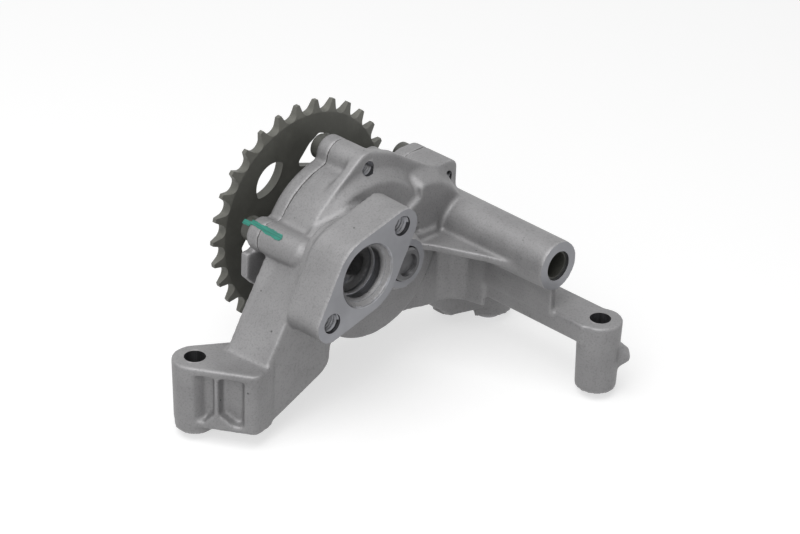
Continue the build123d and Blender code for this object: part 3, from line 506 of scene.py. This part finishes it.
def cast_copy(cad_node, name, sizes, lumps=(), hollows=()):
    """A casting with rounded corners and blended roots: the CAD node's own form, with lumps and hollows."""
    piece = bpy.data.objects.new(name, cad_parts[cad_node].data.copy())
    bpy.context.scene.collection.objects.link(piece)
    finish_with(piece, "WELD", merge_threshold=0.000002)
    if lumps:
        join_to(piece, lumps)
    finish_with(piece, "REMESH", mode="VOXEL", voxel_size=sizes.grain)
    for hollow in hollows:
        cut_out(piece, hollow)
    if hollows:
        finish_with(piece, "REMESH", mode="VOXEL", voxel_size=sizes.grain)
    finish_with(piece, "SMOOTH", factor=0.5, iterations=sizes.passes)
    piece.data.materials.clear()
    return piece


def cut_out(piece, cutter):
    """Cuts a closed shape out of a piece."""
    finish_with(piece, "BOOLEAN", object=cutter, operation="DIFFERENCE", solver="MANIFOLD")
    bpy.data.objects.remove(cutter)


def machine(piece, cutter, number):
    """Cuts a closed shape out of a casting and gives the new faces a material number."""
    cutter.data.materials.clear()
    for material in piece.data.materials:
        cutter.data.materials.append(material)
    cutter.data.polygons.foreach_set("material_index", np.full(len(cutter.data.polygons), number, np.int32))
    cut_out(piece, cutter)


def flatten(points, axis, level, inside=None):
    """Pulls points near a machined plane onto it."""
    near = np.abs(points[:, axis] - level) < PLANE_REACH
    if inside is not None:
        near &= inside
    points[near, axis] = level
    return near


def paint_faces(piece, masks):
    """Gives the faces whose points all lie in a mask that mask's material number."""
    mesh = piece.data
    numbers = np.zeros(len(mesh.polygons), np.int32)
    starts = np.zeros(len(mesh.polygons), np.int32)
    totals = np.zeros(len(mesh.polygons), np.int32)
    corners = np.zeros(len(mesh.loops), np.int32)
    mesh.polygons.foreach_get("loop_start", starts)
    mesh.polygons.foreach_get("loop_total", totals)
    mesh.loops.foreach_get("vertex_index", corners)
    for number, mask in masks:
        hits = np.add.reduceat(mask[corners].astype(np.int32), starts)
        numbers[hits == totals] = number
    mesh.polygons.foreach_set("material_index", numbers)


def thin(piece, most):
    """Keeps a piece under a number of triangles."""
    finish_with(piece, "TRIANGULATE")
    count = len(piece.data.polygons)
    if count > most:
        finish_with(piece, "DECIMATE", ratio=most / count)
    smooth_over(piece)


def smooth_over(piece):
    """Shades soft corners smooth and keeps machined edges sharp."""
    choose(piece)
    bpy.ops.object.shade_smooth_by_angle(angle=math.radians(38))


def face_outwards(piece):
    """Closes a shape's seams and turns its faces outwards."""
    choose(piece)
    bpy.ops.object.mode_set(mode="EDIT")
    bpy.ops.mesh.select_all(action="SELECT")
    bpy.ops.mesh.remove_doubles(threshold=0.000002)
    bpy.ops.mesh.normals_make_consistent(inside=False)
    bpy.ops.object.mode_set(mode="OBJECT")


def close_wall(piece, material, thickness, centre):
    """Gives a wall round a hole its thickness, outwards into the casting, and its finish."""
    face_outwards(piece)
    face = piece.data.polygons[len(piece.data.polygons) // 2]
    outward = (face.center.x - centre[0]) * face.normal.x + (face.center.z - centre[1]) * face.normal.z > 0
    finish_with(piece, "SOLIDIFY", thickness=thickness, offset=1 if outward else -1)
    face_outwards(piece)
    bpy.ops.object.shade_smooth_by_angle(angle=math.radians(40))
    piece.data.materials.append(material)
    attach(piece, "pump_body")


def grid_piece(name, columns, rows, shape):
    """A sheet of columns by rows, bent by a shape that turns (u, v), each from 0 to 1, into points."""
    bpy.ops.object.select_all(action="DESELECT")
    bpy.ops.mesh.primitive_grid_add(x_subdivisions=columns, y_subdivisions=rows, size=1, location=(0, 0, 0))
    piece = bpy.context.active_object
    piece.name = name
    flat = points_of(piece) + 0.5
    set_points(piece, shape(flat[:, 0], flat[:, 1]))
    return piece


def spun_shape(profile, centre):
    """A shape turned round an axis along Y, from profile points of (radius, y) in millimetres."""
    radii, depths = (np.array(column) * MM for column in zip(*profile))
    stations = np.linspace(0, 1, len(profile))

    def shape(u, v):
        radius, depth = np.interp(v, stations, radii), np.interp(v, stations, depths)
        turn = 2 * math.pi * u
        return np.stack([centre[0] + radius * np.cos(turn), depth, centre[1] + radius * np.sin(turn)], 1)

    return shape


def thread_shape(centre, mouth, crest, root, pitch, turns):
    """A thread's flanks wound round an axis along Y, in millimetres except the centre and the mouth."""

    def shape(u, v):
        turn = 2 * math.pi * turns * u
        radius = (crest + (root - crest) * np.abs(2 * v - 1) ** 1.2) * MM
        depth = mouth + (turns * u + v) * pitch * MM
        return np.stack([centre[0] + radius * np.cos(turn), depth, centre[1] + radius * np.sin(turn)], 1)

    return shape


def coil_shape(centre, start, end, mean, wire, turns):
    """A wire wound round an axis along Y, drawn to a point at both ends, in millimetres except the centre."""

    def shape(u, v):
        turn, around = 2 * math.pi * turns * u, 2 * math.pi * v
        thick = wire * ((u > 0.001) & (u < 0.999))
        radius = (mean + thick * np.cos(around)) * MM
        depth = (start + (end - start) * u + thick * np.sin(around)) * MM
        return np.stack([centre[0] + radius * np.cos(turn), depth, centre[1] + radius * np.sin(turn)], 1)

    return shape


# Operators


class OILPUMP_OT_castings(bpy.types.Operator):
    """Makes the two castings with cast fillets and machined faces"""

    bl_idname = "oilpump.castings"
    bl_label = "Castings"

    def execute(self, context):
        sizes = context.scene.oilpump_casting
        skin = cast_aluminium("cast_aluminium", tuple(sizes.skin))
        cut = machined_aluminium("machined_aluminium", tuple(sizes.cut))
        turned = turned_aluminium("turned_aluminium", tuple(c * 0.8 for c in sizes.cut), 0.32)
        bright = turned_aluminium("bored_aluminium", tuple(c * 0.95 for c in sizes.cut), 0.3)

        lumps = [bar(mouth, floor, radius + PLUG_WALL) for mouth, floor, radius in DRILLED]
        lumps += [bar(*ends) for ends in CAST_LUMPS] + [drafted_block(*BLOCK_FILLING)]
        pockets = [drafted_block(near, far) for near, far in BLOCK_POCKETS]
        housing = cast_copy("pump_housing", "housing_casting", sizes, lumps, pockets)
        points = points_of(housing)
        across, up = points[:, 0].copy(), points[:, 2].copy()
        flat = flatten(points, 1, FLANGE_Y, across < FLANGE_SIDE_X)
        flat |= flatten(points, 1, TUBE_END_Y, np.hypot(across - RELIEF[0], up - RELIEF[1]) < ROUND_FACE_RADIUS)
        flat |= flatten(points, 2, FEET_Z)
        flat |= flatten(points, 1, JOINT_Y, across > JOINT_SIDE_X)
        flat |= flatten(points, 1, SHAFT_BOSS_Y, np.hypot(across, up) < ROUND_FACE_RADIUS)
        set_points(housing, points)
        for material in (skin, cut, turned, bright):
            housing.data.materials.append(material)
        paint_faces(housing, ((1, flat),))
        thin(housing, sizes.triangles)
        for mouth, floor, radius in (*DRILLED, SPILL):
            outside = Vector(mouth) + (Vector(mouth) - Vector(floor)).normalized() * CUTTER_STAND
            machine(housing, bar(outside, floor, radius), 2)
        stepped = ((0, -68.0), (13.6, -68.0), (13.3, -67.0), *SUCTION_STEPS, (0, SUCTION_STEPS[-1][1]))
        cutter = grid_piece("suction_cutter", 96, len(stepped) - 1, spun_shape(stepped, SUCTION))
        face_outwards(cutter)
        machine(housing, cutter, 3)
        smooth_over(housing)
        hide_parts("pump_housing")
        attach(housing, "pump_body")

        cover = cast_copy("pump_cover", "cover_casting", sizes)
        points = points_of(cover)
        flat = flatten(points, 1, JOINT_Y)
        set_points(cover, points)
        for material in (skin, cut):
            cover.data.materials.append(material)
        paint_faces(cover, ((1, flat),))
        thin(cover, sizes.triangles // 2)
        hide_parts("pump_cover")
        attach(cover, "pump_body")
        return {"FINISHED"}


class OILPUMP_OT_threads(bpy.types.Operator):
    """Cuts the threads of the tapped holes"""

    bl_idname = "oilpump.threads"
    bl_label = "Tapped threads"

    def execute(self, context):
        sizes = context.scene.oilpump_casting
        tapped = turned_aluminium("tapped_aluminium", tuple(c * 0.7 for c in sizes.cut), 0.3)
        holes = (
            ("flange_thread_upper", FLANGE_HOLES[0], FLANGE_Y + 0.0007, 3.38, 4.0, 1.25, 9),
            ("flange_thread_lower", FLANGE_HOLES[1], FLANGE_Y + 0.0007, 3.38, 4.0, 1.25, 9),
            ("top_boss_thread", TOP_BOLT, REAR_WALL_Y + 0.0002, 2.5, 3.0, 1.0, 4),
            ("right_boss_thread", RIGHT_BOLT, REAR_WALL_Y + 0.0002, 1.8, 2.2, 0.8, 3),
        )
        for name, centre, mouth, crest, root, pitch, turns in holes:
            winding = thread_shape(centre, mouth, crest, root, pitch, turns)
            thread = grid_piece(name, 32 * turns, 4, winding)
            close_wall(thread, tapped, 0.0002, centre)
        return {"FINISHED"}


class OILPUMP_OT_steel(bpy.types.Operator):
    """Gives the steel and bronze pieces their finishes"""

    bl_idname = "oilpump.steel"
    bl_label = "Steel finishes"

    def execute(self, context):
        colours = context.scene.oilpump_steel
        black, ground, bronze = tuple(colours.black), tuple(colours.ground), tuple(colours.bronze)
        wear("drive_sprocket", black_steel("sprocket_steel", black, 0.5, 0.0424))
        bolt = black_steel("bolt_steel", tuple(c * 0.6 for c in black), 0.42)
        for name in ("cover_bolts", "sprocket_bolt", "sprocket_washer"):
            wear(name, bolt)
        dark = black_steel("pressed_steel", tuple(c * 0.75 for c in black), 0.4)
        for name in ("relief_cap", "gallery_plug"):
            wear(name, dark)
        shaft = ground_steel("shaft_steel", tuple(c * 0.42 for c in ground), 0.4, (300, 4000, 300))
        for name in ("drive_shaft", "rotor_key", "relief_piston"):
            wear(name, shaft)
        bright = ground_steel("dowel_steel", ground, 0.32, (3000, 3000, 400))
        for name in ("cover_dowels", "mounting_dowel"):
            wear(name, bright)
        rotor = ground_steel("rotor_steel", tuple(c * 0.75 for c in ground), 0.45, (900, 900, 900))
        for name in ("inner_rotor", "outer_rotor"):
            wear(name, rotor)
        bush = ground_steel("bushing_bronze", bronze, 0.4, (300, 4000, 300))
        for name in ("housing_bushing", "cover_bushing"):
            wear(name, bush)
        return {"FINISHED"}


class OILPUMP_OT_spring(bpy.types.Operator):
    """Winds the relief valve's spring at one fixed length"""

    bl_idname = "oilpump.spring"
    bl_label = "Relief spring"

    def execute(self, context):
        spring = grid_piece("spring_coil", 324, 12, coil_shape(RELIEF, -53.7, -86.6, 4.1, 0.6, 9))
        face_outwards(spring)
        bpy.ops.object.shade_smooth_by_angle(angle=math.radians(60))
        spring.data.materials.append(bpy.data.materials["dowel_steel"])
        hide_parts("relief_spring")
        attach(spring, "pump_body")
        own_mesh(spring)
        return {"FINISHED"}


class OILPUMP_OT_paint(bpy.types.Operator):
    """Puts the inspector's green paint stroke across the seam at the left boss"""

    bl_idname = "oilpump.paint"
    bl_label = "Paint stroke"

    def execute(self, context):
        colour = tuple(context.scene.oilpump_steel.paint)
        metal = brushed_paint("green_paint", colour)
        strokes = (
            ("paint_stroke", 6.7, -0.0137, -0.0310, 122.0, 127.0, 44),
            ("paint_on_bolt", 5.1, -0.0087, -0.0128, 130.0, 128.0, 12),
        )
        for name, radius, start, end, angle_start, angle_end, cells in strokes:

            def shape(u, v):
                side = 2 * v - 1
                ragged = 1 + 0.08 * np.sin(u * 23 + side * 1.3) + 0.05 * np.sin(u * 61)
                blunt = np.sqrt(np.clip(1 - np.clip((u - 0.93) / 0.07, 0, 1) ** 2, 0.06, 1))
                pressed = 1 + 0.4 * np.clip((u - 0.36) / 0.1, 0, 1) * (radius > 6)
                half = 1.0 / radius * ragged * blunt * pressed
                angle = np.radians(angle_start + (angle_end - angle_start) * u) + side * half
                lift = (radius + 0.05) * MM
                depth = start + (end - start) * u
                return np.stack([LEFT_BOLT[0] + lift * np.cos(angle), depth, LEFT_BOLT[1] + lift * np.sin(angle)], 1)

            stroke = grid_piece(name, cells, 8, shape)
            stroke.data.materials.append(metal)
            finish_with(stroke, "SOLIDIFY", thickness=0.00016, offset=-1)
            face_outwards(stroke)
            bpy.ops.object.shade_smooth_by_angle(angle=math.radians(50))
            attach(stroke, "pump_body")
        return {"FINISHED"}


class OILPUMP_OT_studio(bpy.types.Operator):
    """Sets up the floor, the lamps, the world and the camera"""

    bl_idname = "oilpump.studio"
    bl_label = "Studio"

    def execute(self, context):
        scene = context.scene
        settings = scene.oilpump_studio
        bpy.ops.object.select_all(action="DESELECT")
        bpy.ops.mesh.primitive_plane_add(size=8, location=(0, 0, CAD_LOW.z - 0.0001))
        floor = context.active_object
        floor.name = "studio_floor"
        material, tree, shader = new_material("floor_paper", tuple(settings.floor), 0.0, 0.9)
        shader.inputs["Specular IOR Level"].default_value = 0.0
        tree.links.new(seen_ray(tree), shader.inputs["Emission Strength"])
        shader.inputs["Emission Color"].default_value = (0.62, 0.62, 0.62, 1)
        floor.data.materials.append(material)

        world = bpy.data.worlds.new("studio_world")
        scene.world = world
        world.use_nodes = True
        tree = world.node_tree
        background = tree.nodes["Background"]
        strength = node(tree, "ShaderNodeMapRange", Value=seen_ray(tree), i3=0.27, i4=1.0)
        tree.links.new(strength.outputs["Result"], background.inputs["Strength"])
        background.inputs["Color"].default_value = (1, 1, 1, 1)

        lamps = (
            ("lamp_above", (-0.35, -0.10, 0.95), 0.9, 7.0),
            ("lamp_left", (-0.85, -0.45, 0.70), 0.7, 3.1),
        )
        for name, place, size, power in lamps:
            data = bpy.data.lights.new(name, "AREA")
            data.size = size
            data.energy = power
            lamp = bpy.data.objects.new(name, data)
            lamp.location = place
            lamp.rotation_euler = (-Vector(place)).to_track_quat("-Z", "Y").to_euler()
            scene.collection.objects.link(lamp)

        data = bpy.data.cameras.new("camera")
        data.lens = settings.lens
        data.sensor_width = 36.0
        data.clip_start = 0.01
        camera = bpy.data.objects.new("camera", data)
        camera.location = settings.place
        camera.rotation_euler = settings.turn
        scene.collection.objects.link(camera)
        scene.camera = camera
        scene.view_settings.view_transform = "Standard"
        return {"FINISHED"}


class OILPUMP_PT_panel(bpy.types.Panel):
    """Lists the steps in the 3D view's sidebar"""

    bl_idname = "OILPUMP_PT_panel"
    bl_label = "Oil Pump"
    bl_space_type = "VIEW_3D"
    bl_region_type = "UI"
    bl_category = "Oil Pump"

    def draw(self, context):
        for step in STEPS:
            self.layout.operator(step.bl_idname)
        for group in (context.scene.oilpump_casting, context.scene.oilpump_steel, context.scene.oilpump_studio):
            box = self.layout.box()
            for name in type(group).__annotations__:
                box.prop(group, name)


STEPS = (
    OILPUMP_OT_studio,
    OILPUMP_OT_castings,
    OILPUMP_OT_threads,
    OILPUMP_OT_steel,
    OILPUMP_OT_spring,
    OILPUMP_OT_paint,
)
GROUPS = (CastingSettings, SteelSettings, StudioSettings)


def register():
    for cls in (*GROUPS, *STEPS, OILPUMP_PT_panel):
        bpy.utils.register_class(cls)
    bpy.types.Scene.oilpump_casting = bpy.props.PointerProperty(type=CastingSettings)
    bpy.types.Scene.oilpump_steel = bpy.props.PointerProperty(type=SteelSettings)
    bpy.types.Scene.oilpump_studio = bpy.props.PointerProperty(type=StudioSettings)


def unregister():
    del bpy.types.Scene.oilpump_casting
    del bpy.types.Scene.oilpump_steel
    del bpy.types.Scene.oilpump_studio
    for cls in reversed((*GROUPS, *STEPS, OILPUMP_PT_panel)):
        bpy.utils.unregister_class(cls)


def main():
    register()
    bpy.ops.oilpump.studio()
    bpy.ops.oilpump.castings()
    bpy.ops.oilpump.threads()
    bpy.ops.oilpump.steel()
    bpy.ops.oilpump.spring()
    bpy.ops.oilpump.paint()


if __name__ == "__main__":
    main()
